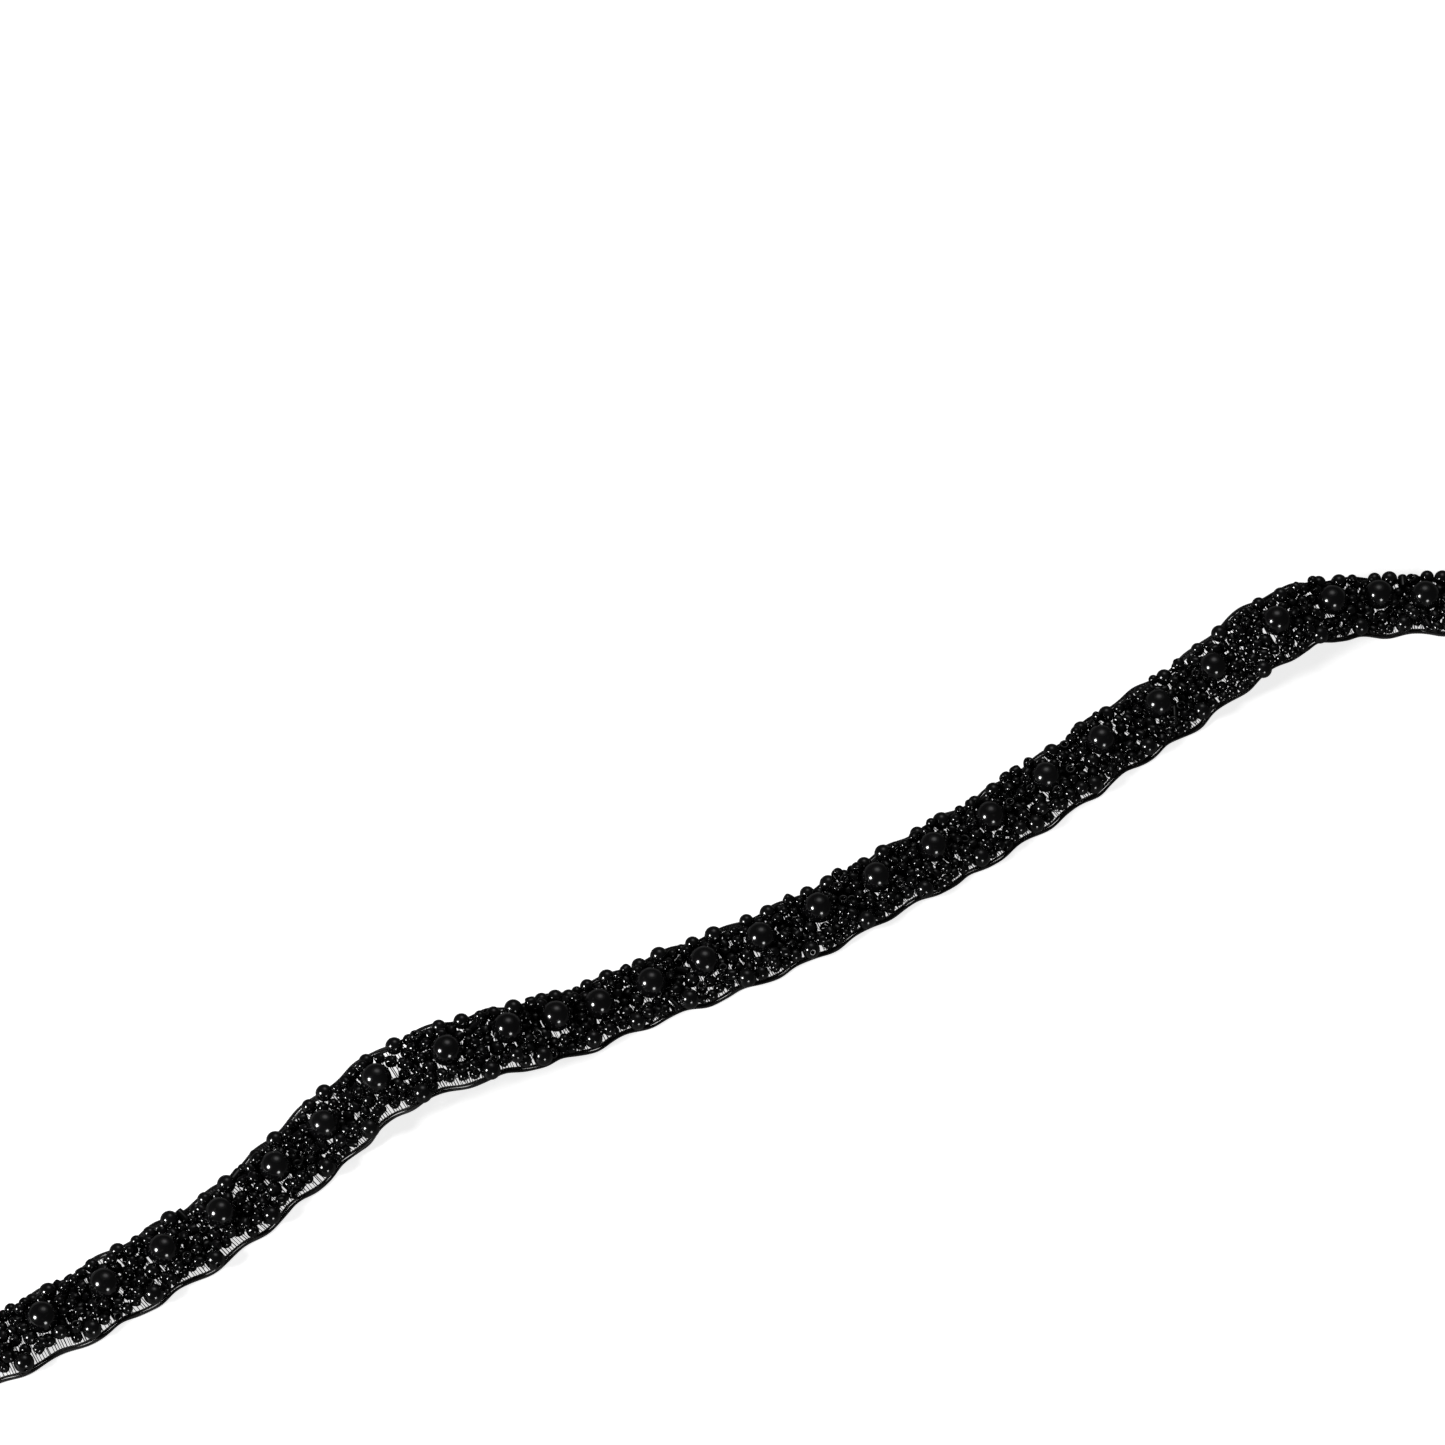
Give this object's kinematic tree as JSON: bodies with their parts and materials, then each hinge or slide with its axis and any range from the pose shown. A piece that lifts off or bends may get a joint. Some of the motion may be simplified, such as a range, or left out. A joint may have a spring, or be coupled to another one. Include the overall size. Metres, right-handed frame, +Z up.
{
  "type": "pearl beaded trim",
  "caption": "Narrow sheer tulle trim with scalloped corded edges, covered with black pearls and seed beads, lying in soft waves.",
  "frame": {"origin": "on the resting surface, under the middle of the trim's box", "axes": "+X along the trim, +Y across it towards its far edge, +Z up from the surface"},
  "size_m": [0.3437, 0.029, 0.014],
  "materials": {
    "sheer_tulle": "sheer ribbed nylon",
    "edge_thread": "stitched cord",
    "seed_beads": "glossy",
    "black_pearl": "pearl gloss"
  },
  "bodies": {
    "root": {"tulle_ground": "sheer_tulle", "edge_cord_near": "edge_thread", "edge_cord_far": "edge_thread", "bead_bed": "seed_beads", "pearl_01": "black_pearl", "pearl_02": "black_pearl", "pearl_03": "black_pearl", "pearl_04": "black_pearl", "pearl_05": "black_pearl", "pearl_06": "black_pearl", "pearl_07": "black_pearl", "pearl_08": "black_pearl", "pearl_09": "black_pearl", "pearl_10": "black_pearl", "pearl_11": "black_pearl", "pearl_12": "black_pearl", "pearl_13": "black_pearl", "pearl_14": "black_pearl", "pearl_15": "black_pearl", "pearl_16": "black_pearl", "pearl_17": "black_pearl", "pearl_18": "black_pearl", "pearl_19": "black_pearl", "pearl_20": "black_pearl", "pearl_21": "black_pearl", "pearl_22": "black_pearl", "pearl_23": "black_pearl", "pearl_24": "black_pearl", "pearl_25": "black_pearl", "pearl_26": "black_pearl"}
  },
  "joints": []
}
